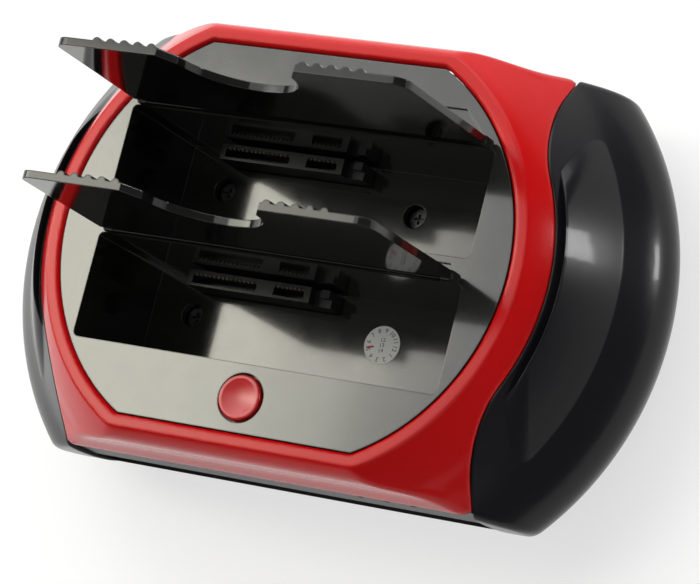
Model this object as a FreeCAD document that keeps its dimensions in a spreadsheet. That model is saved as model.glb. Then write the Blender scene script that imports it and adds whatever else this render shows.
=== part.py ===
import FreeCAD, Part
import math
import os

import Sketcher
from FreeCAD import Placement, Rotation, Vector

# Drive duplicator: a table-top dock for two bare disk drives that stand upright in
# two open bays, each with a flap behind it, and one button that starts the copy.
# X runs left to right, Y front to back, Z up.  The origin is the centre of the
# footprint at table level.  Millimetres.

doc = FreeCAD.newDocument("DriveDuplicator")
sheet = doc.addObject("Spreadsheet::Sheet", "Sizes")

SIZES = (
    # Heights.  Levels of the case are drops below the deck plane.
    ("deck_height", 54.0), ("foot_height", 4.0), ("foot_radius", 6.0),
    ("foot_x", 58.0), ("foot_y", 36.0),
    # Oval deck: two arcs cut by a straight front and back edge.
    ("deck_arc_radius", 55.4), ("deck_arc_shift", 7.3), ("deck_half_depth", 48.9),
    ("deck_thick", 2.4), ("deck_gap", 0.3),
    # Case outline: crest of the ring, shoulder, waist, lip, belt, tuck and sole.
    ("ring_rise", 0.5), ("ring_width", 4.0), ("ring_depth", 3.6), ("ring_chamfer", 0.8),
    ("shoulder_out", 1.3), ("shoulder_drop", 1.0),
    ("waist_out", 6.8), ("waist_drop", 8.0), ("waist_inset", 0.8),
    ("lip_inset", 8.0), ("lip_drop", 20.5), ("case_half_depth", 56.0),
    ("belt_half_width", 92.0), ("belt_drop", 35.0), ("belt_arc_shift", 12.0),
    ("tuck_inset", 3.4), ("tuck_drop", 43.0), ("sole_inset", 8.0), ("sole_rise", 2.5),
    ("case_corner", 5.0), ("case_wall", 1.8), ("floor_plate", 2.4),
    # Lobes: the raised part of each end, widest at the belt.
    ("lobe_top_drop", 1.0), ("lobe_top_inset", 20.5), ("lobe_top_half_depth", 20.0),
    ("lobe_half_depth", 52.5), ("lobe_side_bulge", 0.2), ("lobe_end_bulge", 0.95),
    ("lobe_corner", 13.0), ("lobe_sink", 0.5),
    # Wavy seam between the red cover and the black ends.
    ("seam_out", 4.8), ("seam_rise", 12.8), ("seam_run", 57.0),
    ("seam_mid_radius", 60.0), ("seam_gap", 0.15),
    ("valley_out", 0.8), ("valley_depth", 12.0), ("valley_slope", 3.5),
    # Drive bays.
    ("bay_width", 104.0), ("bay_length", 27.6), ("bay_pitch", 34.2),
    ("front_bay_back", -4.0), ("bay_depth", 34.0), ("bay_corner", 1.5),
    ("bay_wall", 1.4), ("bay_floor", 2.0), ("strip_core", 3.0),
    # Flaps.  The leaf stands just behind the bay and turns on a rod.
    ("leaf_gap", 0.35), ("leaf_thick", 2.0), ("leaf_length", 45.5),
    ("leaf_half_width", 50.0), ("leaf_taper", 1.1), ("leaf_corner", 4.0),
    ("notch_radius", 16.0), ("notch_centre", 40.2), ("notch_flare", 3.2),
    ("rib_count", 5), ("rib_pitch", 3.9), ("rib_first", 21.0), ("rib_radius", 1.2),
    ("rib_length", 9.0), ("rib_proud", 0.9),
    ("hinge_height", 1.8), ("barrel_radius", 1.5), ("rod_radius", 0.7),
    ("rod_clearance", 0.06), ("ear_width", 2.6), ("ear_inset", 0.5), ("ear_gap", 0.3),
    ("recess_depth", 0.9), ("rear_recess", 9.3), ("rear_recess_slant", 8.0),
    ("front_recess", 4.8), ("front_recess_slant", 2.0), ("recess_shoulder", 0.15),
    # Copy button.
    ("button_y", -40.2), ("button_hole_radius", 6.35), ("button_radius", 5.75),
    ("button_proud", 1.0), ("button_dish", 0.7), ("button_edge", 0.5), ("button_skirt", 5.5),
    ("flange_radius", 6.75), ("flange_thick", 1.2), ("button_travel", 1.2),
    ("button_rest_gap", 0.1), ("flange_gap", 0.02), ("boot_foot_radius", 6.1),
    ("boot_neck_radius", 5.4), ("boot_wall", 0.6),
    ("switch_side", 6.0), ("switch_body", 3.5), ("plunger_radius", 1.7),
    ("plunger_length", 1.6), ("board_thick", 1.6),
    ("switch_board_width", 26.0), ("switch_board_depth", 11.0),
    ("switch_post_x", 10.0), ("switch_post_radius", 2.3),
    # Drive sockets.
    ("socket_x", -38.6), ("socket_width", 36.2), ("socket_depth", 4.2),
    ("socket_back_gap", 0.9), ("socket_drop", 25.2), ("contact_pitch", 1.27),
    ("power_contacts", 15), ("signal_contacts", 7), ("segment_step", 6.35),
    ("first_contact", 2.0), ("contact_width", 0.8), ("contact_thick", 0.35),
    ("slot_width", 1.9), ("slot_depth", 6.0), ("slot_margin", 0.7),
    ("contact_room", 0.4), ("socket_play", 0.2), ("ear_block", 5.0), ("ear_drop", 3.0),
    # Main board and what fixes it.
    ("board_drop", 38.0), ("board_half_width", 51.0), ("board_front_gap", 7.1),
    ("board_back_gap", 2.6), ("standoff_x", 46.0), ("standoff_y", 40.0),
    ("standoff_radius", 3.0), ("screw_radius", 1.25), ("screw_clearance", 0.2),
    ("thread_length", 4.5),
    ("cross_width", 0.7), ("screw_head_radius", 2.7),
    ("screw_head_height", 1.6), ("boss_radius", 4.2), ("boss_gap", 0.6), ("well_radius", 3.1),
    ("well_wall", 1.2),
    ("board_play", 0.5), ("head_sink", 0.4),
    ("bay_screw_right", 16.5), ("bay_screw_left", -39.8), ("bay_screw_back", 11.2),
    ("post_x", 56.5), ("post_y", 40.0), ("post_radius", 3.2), ("pod_post_x", 76.0),
    ("bore_share", 0.75),
    # Front and back panels between the pods.
    ("panel_inset", 0.9), ("rear_panel_inset", 2.4), ("panel_wall", 2.0), ("rim_gap", 1.2),
    ("rim_height", 4.0), ("bite", 0.1), ("sink_room", 0.3),
    ("lamp_radius", 1.1), ("lamp_pitch", 7.5), ("lamp_x", 32.0), ("lamp_drop", 27.0),
    ("lamp_sunk", 1.3), ("lamp_leg", 2.4),
    ("port_clearance", 0.2), ("port_proud", 0.6), ("tongue_sunk", 2.0),
    ("tongue_share", 0.62), ("tongue_thick", 1.8),
    ("usb_x", 14.0), ("usb_width", 12.0), ("usb_height", 10.8), ("usb_depth", 15.0),
    ("usb_wall", 0.8), ("esata_wall", 1.0),
    ("esata_x", -8.0), ("esata_width", 14.0), ("esata_height", 7.6),
    ("esata_depth", 12.0),
    ("jack_x", 36.0), ("jack_width", 9.0), ("jack_height", 11.0), ("jack_depth", 13.0),
    ("jack_bore", 5.6), ("jack_pin", 2.0), ("jack_bore_depth", 9.0),
    ("power_x", -32.0), ("power_side", 8.0), ("power_depth", 12.0),
    ("power_cap", 5.6), ("power_cap_proud", 1.7), ("power_travel", 1.2), ("power_back", 2.0),
    ("cap_room", 0.15),
    # Parts on the board.
    ("chip_side", 14.0), ("chip_height", 1.4), ("chip_x", -12.0), ("chip_y", 8.0),
    ("can_radius", 3.15), ("can_height", 7.0), ("can_x", -12.0), ("can_pitch", 7.6),
    ("sticker_radius", 5.0), ("sticker_thick", 0.15),
)
for row, (alias, number) in enumerate(SIZES, start=1):
    sheet.set("A%d" % row, alias)
    sheet.set("B%d" % row, str(number))
    sheet.setAlias("B%d" % row, alias)
doc.recompute()


class Named:
    """The sheet's values by name, for the shapes that are worked out in code."""

    def __getattr__(self, alias):
        return float(sheet.get(alias))


s = Named()
nodes = []


def keep(obj, label):
    """Give a finished sub-part its own label and list it for writing."""
    obj.Label = label
    nodes.append(obj)
    return obj


def level(drop):
    """Height of a level that is given as a drop below the deck plane."""
    return s.deck_height - drop


# ---------------------------------------------------------------------------
# Building blocks: expressions name cells of the sheet.

def cells(text):
    """Turn bare size names into references to the sheet."""
    out = text
    for alias in sorted((name for name, _ in SIZES), key=len, reverse=True):
        out = out.replace(alias, "@%d@" % [n for n, _ in SIZES].index(alias))
    for index, (alias, _) in enumerate(SIZES):
        out = out.replace("@%d@" % index, "Sizes." + alias)
    return out


def bind(obj, **pairs):
    """Bind properties to expressions; a double underscore stands for a dot."""
    for prop, text in pairs.items():
        obj.setExpression(prop.replace("__", "."), cells(text))
    return obj


def box(name, x, y, z, dx, dy, dz):
    """A block: x and y are its middle, z its underside."""
    obj = doc.addObject("Part::Box", name)
    bind(obj, Length=dx, Width=dy, Height=dz, Placement__Base__z=z,
         Placement__Base__x="(%s) - (%s) / 2" % (x, dx),
         Placement__Base__y="(%s) - (%s) / 2" % (y, dy))
    return obj


def rod(name, x, y, z, radius, height):
    """An upright cylinder that starts at height z."""
    obj = doc.addObject("Part::Cylinder", name)
    bind(obj, Radius=radius, Height=height, Placement__Base__x=x,
         Placement__Base__y=y, Placement__Base__z=z)
    return obj


def lying_rod(name, x, y, z, radius, length, toward):
    """A cylinder along +X or +Y that starts at x, y, z."""
    obj = doc.addObject("Part::Cylinder", name)
    turn = Rotation(Vector(0, 0, 1), toward)
    obj.Placement = Placement(Vector(0, 0, 0), turn)
    bind(obj, Radius=radius, Height=length, Placement__Base__x=x,
         Placement__Base__y=y, Placement__Base__z=z)
    return obj


def fuse(name, parts):
    obj = doc.addObject("Part::MultiFuse", name)
    obj.Shapes = parts
    return obj


def cut(name, base, tools):
    obj = doc.addObject("Part::Cut", name)
    obj.Base = base
    obj.Tool = tools[0] if len(tools) == 1 else fuse(name + "Tools", tools)
    return obj


def solid(name, shape):
    obj = doc.addObject("Part::Feature", name)
    obj.Shape = shape
    return obj


# ---------------------------------------------------------------------------
# PartDesign helpers: one centred profile per sketch, moved by its attachment.

def new_body(name):
    return doc.addObject("PartDesign::Body", name)


def sketch(body, role, name, x="0", y="0", z="0"):
    obj = body.newObject("Sketcher::SketchObject", name)
    plane = next(f for f in body.Origin.OriginFeatures if f.Role == role)
    obj.AttachmentSupport = (plane, [""])
    obj.MapMode = "FlatFace"
    bind(obj, AttachmentOffset__Base__x=x, AttachmentOffset__Base__y=y,
         AttachmentOffset__Base__z=z)
    return obj


def centred_rectangle(obj, width, height):
    """Four lines about the sketch's origin, with bound width and height."""
    corners = [Vector(-2, -1, 0), Vector(2, -1, 0), Vector(2, 1, 0), Vector(-2, 1, 0)]
    for i in range(4):
        obj.addGeometry(Part.LineSegment(corners[i], corners[(i + 1) % 4]), False)
    rules = [Sketcher.Constraint("Coincident", i, 2, (i + 1) % 4, 1) for i in range(4)]
    rules += [Sketcher.Constraint("Horizontal", 0), Sketcher.Constraint("Horizontal", 2)]
    rules += [Sketcher.Constraint("Vertical", 1), Sketcher.Constraint("Vertical", 3)]
    rules.append(Sketcher.Constraint("Symmetric", 0, 1, 1, 2, -1, 1))
    obj.addConstraint(rules)
    wide = obj.addConstraint(Sketcher.Constraint("DistanceX", 0, 1, 0, 2, 4.0))
    tall = obj.addConstraint(Sketcher.Constraint("DistanceY", 1, 1, 1, 2, 2.0))
    obj.setExpression("Constraints[%d]" % wide, cells(width))
    obj.setExpression("Constraints[%d]" % tall, cells(height))
    return obj


def centred_circle(obj, radius):
    obj.addGeometry(Part.Circle(Vector(0, 0, 0), Vector(0, 0, 1), 1.0), False)
    obj.addConstraint(Sketcher.Constraint("Coincident", 0, 3, -1, 1))
    size = obj.addConstraint(Sketcher.Constraint("Radius", 0, 1.0))
    obj.setExpression("Constraints[%d]" % size, cells(radius))
    return obj


def pad(body, profile, length, down=False):
    obj = body.newObject("PartDesign::Pad", profile.Name + "Pad")
    obj.Profile = profile
    obj.Reversed = down
    bind(obj, Length=length)
    return obj


def pocket(body, profile, depth, up=False):
    obj = body.newObject("PartDesign::Pocket", profile.Name + "Pocket")
    obj.Profile = profile
    obj.Reversed = up
    bind(obj, Length=depth)
    return obj


# ---------------------------------------------------------------------------
# Outlines of the case.

def oval(shift, radius, half_depth, corner, z):
    """Two end arcs and two straight sides, with the corners rounded."""
    inner = radius - corner
    x = shift + math.sqrt(inner ** 2 - (half_depth - corner) ** 2)
    y = half_depth - corner
    lean = math.atan2(y, x - shift)
    tip = Vector(shift + radius * math.cos(lean), radius * math.sin(lean), z)
    mid = (lean + math.pi / 2) / 2
    bend = Vector(x + corner * math.cos(mid), y + corner * math.sin(mid), z)
    flat = Vector(x, half_depth, z)

    def at(p, sx, sy):
        return Vector(p.x * sx, p.y * sy, p.z)

    side = Vector(shift + radius, 0, z)
    edges = [
        Part.Arc(at(tip, 1, -1), side, tip).toShape(),
        Part.Arc(tip, bend, flat).toShape(),
        Part.LineSegment(flat, at(flat, -1, 1)).toShape(),
        Part.Arc(at(flat, -1, 1), at(bend, -1, 1), at(tip, -1, 1)).toShape(),
        Part.Arc(at(tip, -1, 1), at(side, -1, 1), at(tip, -1, -1)).toShape(),
        Part.Arc(at(tip, -1, -1), at(bend, -1, -1), at(flat, -1, -1)).toShape(),
        Part.LineSegment(at(flat, -1, -1), at(flat, 1, -1)).toShape(),
        Part.Arc(at(flat, 1, -1), at(bend, 1, -1), at(tip, 1, -1)).toShape(),
    ]
    return Part.Wire(edges)


def deck_outline(grow, z):
    corner = 1.0
    return oval(s.deck_arc_shift, s.deck_arc_radius + grow,
                s.deck_half_depth + grow, corner, z)


def crest_half_width():
    return s.deck_arc_shift + s.deck_arc_radius + s.ring_width


def case_form(inset):
    """The whole case from the crest of its ring to its sole, or its inside."""
    crest = crest_half_width()
    depth = s.deck_half_depth + s.ring_depth
    near = s.deck_arc_shift
    far = s.belt_arc_shift
    belt = s.belt_half_width
    full = s.case_half_depth
    sunk = inset * (1 + s.ring_rise)
    rows = (
        (near, crest, depth, sunk - s.ring_rise),
        (near, crest + s.shoulder_out, depth + s.shoulder_out, sunk + s.shoulder_drop),
        (near, crest + s.waist_out, full - s.waist_inset, s.waist_drop),
        (far, belt - s.lip_inset, full, s.lip_drop),
        (far, belt, full, s.belt_drop),
        (far, belt - s.tuck_inset, full - s.sole_rise / 3, s.tuck_drop),
        (far, belt - s.sole_inset, full - s.sole_rise, s.deck_height - s.foot_height),
    )
    wires = [oval(shift, wide - shift - inset, deep - inset, s.case_corner, level(drop))
             for shift, wide, deep, drop in rows]
    return Part.makeLoft(wires, True, False)


def lobe_form(inset):
    """The domed form of the ends; share runs from its top down to the belt."""
    fall = s.belt_drop - s.lobe_top_drop
    wires = []
    for share in (0.0, 0.12, 0.3, 0.55, 0.8, 1.0):
        side = share + s.lobe_side_bulge * share * (1 - share)
        end = share + s.lobe_end_bulge * share * (1 - share)
        wide = s.belt_half_width - s.lobe_sink - s.lobe_top_inset * (1 - side)
        deep = s.lobe_top_half_depth + (s.lobe_half_depth - s.lobe_top_half_depth) * end
        shift = s.belt_arc_shift
        wires.append(oval(shift, wide - shift - inset, deep - inset, s.lobe_corner - inset,
                          level(s.lobe_top_drop + fall * share + inset * (1 - share))))
    return Part.makeLoft(wires, True, False)


def seam_edge(grow, z, outer, side):
    """The wavy seam in plan, closed round the outside (or the inside) of it."""
    turn = 2 * math.atan2(s.seam_rise, s.seam_run)
    radii = s.seam_run / math.sin(turn)
    big = s.seam_mid_radius
    small = radii - big
    middle = crest_half_width() + s.seam_out
    cx = middle - big
    nx = middle - s.seam_rise + small
    big_g = big + grow
    small_g = small - grow

    def p(x, y):
        return Vector(side * x, y, z)

    join_x = cx + big_g * math.cos(turn)
    join_y = big_g * math.sin(turn)
    half = turn / 2
    end = 2 * s.seam_run
    neck = nx - small_g
    edges = [
        Part.LineSegment(p(neck, -end), p(neck, -s.seam_run)).toShape(),
        Part.Arc(p(neck, -s.seam_run),
                 p(nx - small_g * math.cos(half), -s.seam_run + small_g * math.sin(half)),
                 p(join_x, -join_y)).toShape(),
        Part.Arc(p(join_x, -join_y), p(cx + big_g, 0), p(join_x, join_y)).toShape(),
        Part.Arc(p(join_x, join_y),
                 p(nx - small_g * math.cos(half), s.seam_run - small_g * math.sin(half)),
                 p(neck, s.seam_run)).toShape(),
        Part.LineSegment(p(neck, s.seam_run), p(neck, end)).toShape(),
        Part.LineSegment(p(neck, end), p(outer, end)).toShape(),
        Part.LineSegment(p(outer, end), p(outer, -end)).toShape(),
        Part.LineSegment(p(outer, -end), p(neck, -end)).toShape(),
    ]
    return Part.Wire(edges)


def seam_prism(grow, outer, side):
    """Everything on one side of the seam, over the full height."""
    wire = seam_edge(grow, 0.0, outer, side)
    return Part.Face(wire).extrude(Vector(0, 0, s.deck_height * 2))


def valley(side, lower):
    """Everything inside a slope that climbs from beside the seam."""
    depth = s.valley_depth + lower
    climb = depth + s.ring_rise
    start = s.seam_gap + s.valley_out + lower / s.valley_slope
    low = seam_edge(start, level(depth), 0.0, side)
    high = seam_edge(start + climb / s.valley_slope, level(depth) + climb, 0.0, side)
    return Part.makeLoft([low, high], True, True)


def slab(z0, z1):
    reach = s.belt_half_width * 2
    return Part.makeBox(2 * reach, 2 * reach, z1 - z0, Vector(-reach, -reach, z0))


case_outside = case_form(0.0)
case_inside = case_form(s.case_wall)
between_seams = seam_prism(-s.seam_gap, -1.0, 1).fuse(seam_prism(-s.seam_gap, -1.0, -1))
plate_top = s.foot_height + s.floor_plate
bore_top = level(s.belt_drop * s.bore_share)
board_underside = level(s.board_drop) - s.board_thick


def upright(x, y, z0, z1, radius):
    return Part.makeCylinder(radius, z1 - z0, Vector(x, y, z0))


def four(x, y):
    return [(sx * x, sy * y) for sx in (-1, 1) for sy in (-1, 1)]


# ---------------------------------------------------------------------------
# Red cover: a shell between the seams, with the ring round the deck.

def make_top_shell():
    skin = case_outside.cut(case_inside)
    skin = skin.common(slab(level(s.lip_drop), s.deck_height + 1))
    opening = Part.Face(deck_outline(s.deck_gap, 0)).extrude(Vector(0, 0, 2 * s.deck_height))
    edge = s.ring_chamfer
    chamfer = Part.makeLoft([deck_outline(s.deck_gap, level(edge - s.ring_rise)),
                             deck_outline(s.deck_gap + edge, level(-s.ring_rise))], True, True)
    shell = skin.cut(opening).cut(chamfer)
    for x, y in four(s.post_x, s.post_y):
        post = upright(x, y, plate_top, s.deck_height, s.post_radius).common(case_outside)
        bore = upright(x, y, 0.0, bore_top, s.screw_radius)
        shell = shell.fuse(post).cut(bore)
    return shell.common(between_seams).removeSplitter()


# ---------------------------------------------------------------------------
# Side pods: domed black shells outside the seams.

def make_pod(side):
    lobe = lobe_form(0.0).cut(valley(side, 0.0))
    hollow = lobe_form(s.case_wall).cut(valley(side, s.case_wall))
    form = case_outside.fuse(lobe)
    shell = form.cut(case_inside).cut(hollow)
    shell = shell.common(seam_prism(s.seam_gap, 2 * s.belt_half_width, side))
    shell = shell.common(slab(plate_top, s.deck_height + 1))
    x = side * s.pod_post_x
    post = upright(x, 0.0, plate_top, s.deck_height, s.post_radius).common(form)
    bore = upright(x, 0.0, 0.0, bore_top, s.screw_radius)
    return shell.fuse(post).cut(bore).removeSplitter()


# ---------------------------------------------------------------------------
# Front and back panels, set in a little under the lip.

def make_panel(side, inset):
    """A wall between the ends: side is -1 at the front and 1 at the back."""
    top = level(s.lip_drop) - s.seam_gap
    bend = level(s.belt_drop)
    out = side * (s.case_half_depth - inset)
    foot = side * (s.case_half_depth - s.sole_rise - inset)
    wall = side * s.panel_wall
    corners = [(out, top), (out, bend), (foot, plate_top), (foot - wall, plate_top),
               (out - wall, bend), (out - wall, top), (out, top)]
    reach = s.belt_half_width
    profile = Part.makePolygon([Vector(-reach, y, z) for y, z in corners])
    return Part.Face(profile).extrude(Vector(2 * reach, 0, 0)).common(between_seams)


BOARD_FRONT = "(case_half_depth - panel_inset - panel_wall - board_front_gap)"
BOARD_BACK = "(case_half_depth - rear_panel_inset - panel_wall - board_back_gap)"
board_front = s.case_half_depth - s.panel_inset - s.panel_wall - s.board_front_gap
board_back = s.case_half_depth - s.rear_panel_inset - s.panel_wall - s.board_back_gap


def port_hole(x, width, height):
    gap = s.port_clearance
    return Part.makeBox(width + 2 * gap, s.case_half_depth, height + 2 * gap,
                        Vector(x - width / 2 - gap, board_back - s.case_half_depth / 2,
                               level(s.board_drop) - gap))


keep(solid("TopShell", make_top_shell()), "top_shell")
keep(solid("LeftPod", make_pod(-1)), "left_side_pod")
keep(solid("RightPod", make_pod(1)), "right_side_pod")

panel = make_panel(-1, s.panel_inset)
for index in (-1, 0, 1):
    lamp_hole = Part.makeCylinder(s.lamp_radius, s.case_half_depth - board_front, Vector(
        s.lamp_x + index * s.lamp_pitch, -s.case_half_depth, level(s.lamp_drop)),
        Vector(0, 1, 0))
    panel = panel.cut(lamp_hole)
keep(solid("FrontPanel", panel), "front_panel")

back = make_panel(1, s.rear_panel_inset)
for x, wide, tall in ((s.usb_x, s.usb_width, s.usb_height),
                      (s.esata_x, s.esata_width, s.esata_height),
                      (s.jack_x, s.jack_width, s.jack_height),
                      (s.power_x, s.power_side, s.power_side)):
    back = back.cut(port_hole(x, wide, tall))
keep(solid("RearPanel", back), "rear_panel")


# ---------------------------------------------------------------------------
# Base: the floor plate with a rim, standoffs, bosses and screw holes.

def bay_screw_places():
    """Screws in the bay floors: two at the back, one at the front."""
    rear_y = s.front_bay_back + s.bay_pitch - s.bay_screw_back
    front_y = s.front_bay_back - s.bay_screw_back
    return [(s.bay_screw_right, rear_y), (s.bay_screw_left, rear_y),
            (s.bay_screw_right, front_y), (s.bay_screw_left, front_y)]


def case_screw_places():
    places = four(s.post_x, s.post_y)
    return places + [(s.pod_post_x, 0.0), (-s.pod_post_x, 0.0)]


boss_top = board_underside - s.boss_gap


def rim_form(inset):
    """The inside of the base's upstanding rim, which locates the walls round it."""
    wall = s.panel_wall + s.rim_gap + inset
    wide = s.belt_half_width - s.sole_inset - s.belt_arc_shift - wall
    deep = s.case_half_depth - s.sole_rise - s.rear_panel_inset - wall
    edge = oval(s.belt_arc_shift, wide, deep, s.case_corner, plate_top - s.bite)
    return Part.Face(edge).extrude(Vector(0, 0, s.rim_height))


def make_base():
    plate = case_outside.common(slab(s.foot_height, plate_top))
    base = plate.fuse(rim_form(0.0).cut(rim_form(s.case_wall)))
    for x, y in four(s.standoff_x, s.standoff_y):
        base = base.fuse(upright(x, y, plate_top - s.bite, board_underside, s.standoff_radius))
        base = base.cut(upright(x, y, plate_top, s.deck_height, s.screw_radius))
    for x, y in bay_screw_places():
        base = base.fuse(upright(x, y, plate_top - s.bite, boss_top, s.boss_radius))
        base = base.cut(upright(x, y, plate_top, s.deck_height, s.screw_radius))
    sink_radius = s.screw_head_radius + s.sink_room
    sink_top = s.foot_height + s.screw_head_height + s.screw_clearance
    for x, y in case_screw_places():
        base = base.cut(upright(x, y, 0.0, sink_top, sink_radius))
        base = base.cut(upright(x, y, 0.0, s.deck_height, s.screw_radius + s.sink_room))
        base = base.cut(upright(x, y, plate_top, s.deck_height, s.post_radius + s.sink_room))
    return base.removeSplitter()


keep(solid("BaseShell", make_base()), "base_shell")


# ---------------------------------------------------------------------------
# Deck tray: the oval deck with both bay wells moulded below it.

FRONT_BACK = "front_bay_back"
REAR_BACK = "(front_bay_back + bay_pitch)"
BAYS = (("Front", FRONT_BACK), ("Rear", REAR_BACK))


def bay_middle(back):
    return "%s - bay_length / 2" % back


def hinge_y(back):
    return "%s + leaf_gap + leaf_thick / 2" % back


def back_value(name):
    return s.front_bay_back + (s.bay_pitch if name == "Rear" else 0.0)


def free_profile(body, role, name, edges, x="0", y="0", z="0"):
    """A sketch with an outline of lines and arcs worked out from the sheet."""
    obj = sketch(body, role, name, x, y, z)
    for edge in edges:
        obj.addGeometry(edge, False)
    return obj


def wire_curves(wire):
    """The curves of a flat wire, laid down to height zero for a sketch."""
    curves = []
    for edge in wire.Edges:
        ends = [v.Point for v in edge.Vertexes]
        middle = edge.valueAt((edge.FirstParameter + edge.LastParameter) / 2)
        flat = [Vector(p.x, p.y, 0) for p in (ends[0], middle, ends[1])]
        if isinstance(edge.Curve, Part.Line):
            curves.append(Part.LineSegment(flat[0], flat[2]))
        else:
            curves.append(Part.Arc(*flat))
    return curves


def rounded_edges(width, depth, radius):
    """A rectangle about its middle with rounded corners, as lines and arcs."""
    x = width / 2
    y = depth / 2
    skew = radius * (1 - math.sqrt(0.5))
    edges = []
    for sx, sy in ((1, 1), (-1, 1), (-1, -1), (1, -1)):
        far = Vector(sx * (x - radius), sy * y, 0)
        near = Vector(sx * x, sy * (y - radius), 0)
        middle = Vector(sx * (x - skew), sy * (y - skew), 0)
        if sx * sy > 0:
            edges.append(Part.Arc(near, middle, far))
            edges.append(Part.LineSegment(far, Vector(-far.x, far.y, 0)))
        else:
            edges.append(Part.Arc(far, middle, near))
            edges.append(Part.LineSegment(near, Vector(near.x, -near.y, 0)))
    return edges


tray = new_body("DeckTray")
deck = free_profile(tray, "XY_Plane", "DeckOutline",
                    wire_curves(deck_outline(0.0, 0.0)), z="deck_height")
pad(tray, deck, "deck_thick", down=True)
wells = centred_rectangle(
    sketch(tray, "XY_Plane", "Wells", z="deck_height - deck_thick / 2",
           y="front_bay_back + bay_pitch / 2 - bay_length / 2"),
    "bay_width + 2 * bay_wall", "bay_pitch + bay_length + 2 * bay_wall")
pad(tray, wells, "bay_depth + bay_floor - deck_thick / 2", down=True)
for name, back in BAYS:
    mouth = free_profile(tray, "XY_Plane", name + "Bay",
                         rounded_edges(s.bay_width, s.bay_length, s.bay_corner),
                         y=bay_middle(back), z="deck_height")
    pocket(tray, mouth, "bay_depth")
core = centred_rectangle(
    sketch(tray, "XY_Plane", "StripCore", y="%s - bay_length / 2 - bay_pitch / 2"
           % REAR_BACK, z="deck_height - bay_depth - bay_floor"),
    "bay_width - 4 * bay_wall", "strip_core")
pocket(tray, core, "bay_depth + bay_floor - 2 * deck_thick", up=True)


def recess_edges(name):
    """The shallow pocket behind a hinge; the rear one narrows like a trapezoid."""
    half = s.leaf_half_width - s.ear_inset
    if name == "Rear":
        deep = s.rear_recess
        slant = s.rear_recess_slant
    else:
        deep = s.front_recess
        slant = s.front_recess_slant
    corners = [Vector(-half, 0, 0), Vector(half, 0, 0), Vector(half, deep * s.recess_shoulder, 0),
               Vector(half - slant, deep, 0), Vector(slant - half, deep, 0),
               Vector(-half, deep * s.recess_shoulder, 0)]
    return [Part.LineSegment(corners[i], corners[(i + 1) % 6]) for i in range(6)]


for name, back in BAYS:
    recess = free_profile(tray, "XY_Plane", name + "Recess", recess_edges(name),
                          y=back, z="deck_height")
    pocket(tray, recess, "recess_depth")
    # Ears that carry the hinge rod, rounded over the rod.
    for side in (-1, 1):
        tag = name + ("Left" if side < 0 else "Right")
        ear_x = "%d * (leaf_half_width - ear_width / 2 - ear_inset)" % side
        stem = centred_rectangle(
            sketch(tray, "XY_Plane", tag + "EarStem", x=ear_x, y=hinge_y(back),
                   z="deck_height - recess_depth - bite"),
            "ear_width", "2 * barrel_radius")
        pad(tray, stem, "recess_depth + bite + hinge_height")
        # The YZ plane's sketch x is the model's y, and its y the model's z.
        round_top = centred_circle(
            sketch(tray, "YZ_Plane", tag + "EarRound", x=hinge_y(back),
                   y="deck_height + hinge_height",
                   z="%s - ear_width / 2" % ear_x),
            "barrel_radius")
        pad(tray, round_top, "ear_width")
        bore = centred_circle(
            sketch(tray, "YZ_Plane", tag + "EarBore", x=hinge_y(back),
                   y="deck_height + hinge_height",
                   z="%s + %s" % (ear_x, "ear_width")),
            "rod_radius")
        pocket(tray, bore, "2 * ear_width")
    # Slot in the floor for the drive socket, open down to the main board.
    slot = centred_rectangle(
        sketch(tray, "XY_Plane", name + "SocketSlot", x="socket_x + socket_width / 2",
               y="%s - socket_back_gap - socket_depth / 2" % back,
               z="deck_height - bay_depth"),
        "socket_width + 2 * socket_play", "socket_depth + 2 * socket_play")
    pocket(tray, slot, "bay_floor")
    ear_slot = centred_rectangle(
        sketch(tray, "XY_Plane", name + "EarSlot",
               x="socket_x + socket_width + ear_block / 2",
               y="%s - socket_back_gap - socket_depth / 2" % back,
               z="deck_height - bay_depth"),
        "ear_block + 2 * socket_play", "socket_depth + 2 * socket_play")
    pocket(tray, ear_slot, "bay_floor")

# Sunk screw wells in the bay floors.
for index, (x, y) in enumerate(bay_screw_places()):
    boss = centred_circle(sketch(tray, "XY_Plane", "WellBoss%d" % index, x=str(x),
                                 y=str(y), z="deck_height - bay_depth - bite"),
                          "well_radius + well_wall")
    pad(tray, boss, "bay_floor + board_thick + board_play + board_drop - bay_depth"
        " - bay_floor", down=True)
    well = centred_circle(sketch(tray, "XY_Plane", "Well%d" % index, x=str(x),
                                 y=str(y), z="deck_height - bay_depth"), "well_radius")
    pocket(tray, well, "board_drop - bay_depth + head_sink")
    shank = centred_circle(sketch(tray, "XY_Plane", "Shank%d" % index, x=str(x),
                                  y=str(y), z="deck_height - bay_depth"),
                           "screw_radius + screw_clearance")
    pocket(tray, shank, "board_drop - bay_depth + board_thick + 2")

# Button hole and the posts of the switch board, which hangs so low that the
# plunger is just clear of the button at the end of its travel.
BOARD_HANG = ("(button_skirt + button_travel + button_rest_gap + plunger_length"
              " + switch_body)")
switch_board_top = level(s.button_skirt + s.button_travel + s.button_rest_gap
                         + s.plunger_length + s.switch_body)
hole = centred_circle(sketch(tray, "XY_Plane", "ButtonHole", y="button_y",
                             z="deck_height"), "button_hole_radius")
pocket(tray, hole, "deck_thick")
for side in (-1, 1):
    tag = "Left" if side < 0 else "Right"
    place = {"x": "%d * switch_post_x" % side, "y": "button_y"}
    post = centred_circle(sketch(tray, "XY_Plane", tag + "SwitchPost",
                                 z="deck_height - deck_thick / 2", **place),
                          "switch_post_radius")
    pad(tray, post, BOARD_HANG + " - deck_thick / 2", down=True)
    bore = centred_circle(sketch(tray, "XY_Plane", tag + "SwitchBore",
                                 z="deck_height - " + BOARD_HANG, **place),
                          "screw_radius")
    pocket(tray, bore, BOARD_HANG + " - 2 * deck_thick", up=True)
doc.recompute()
keep(tray, "deck_tray")


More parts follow.
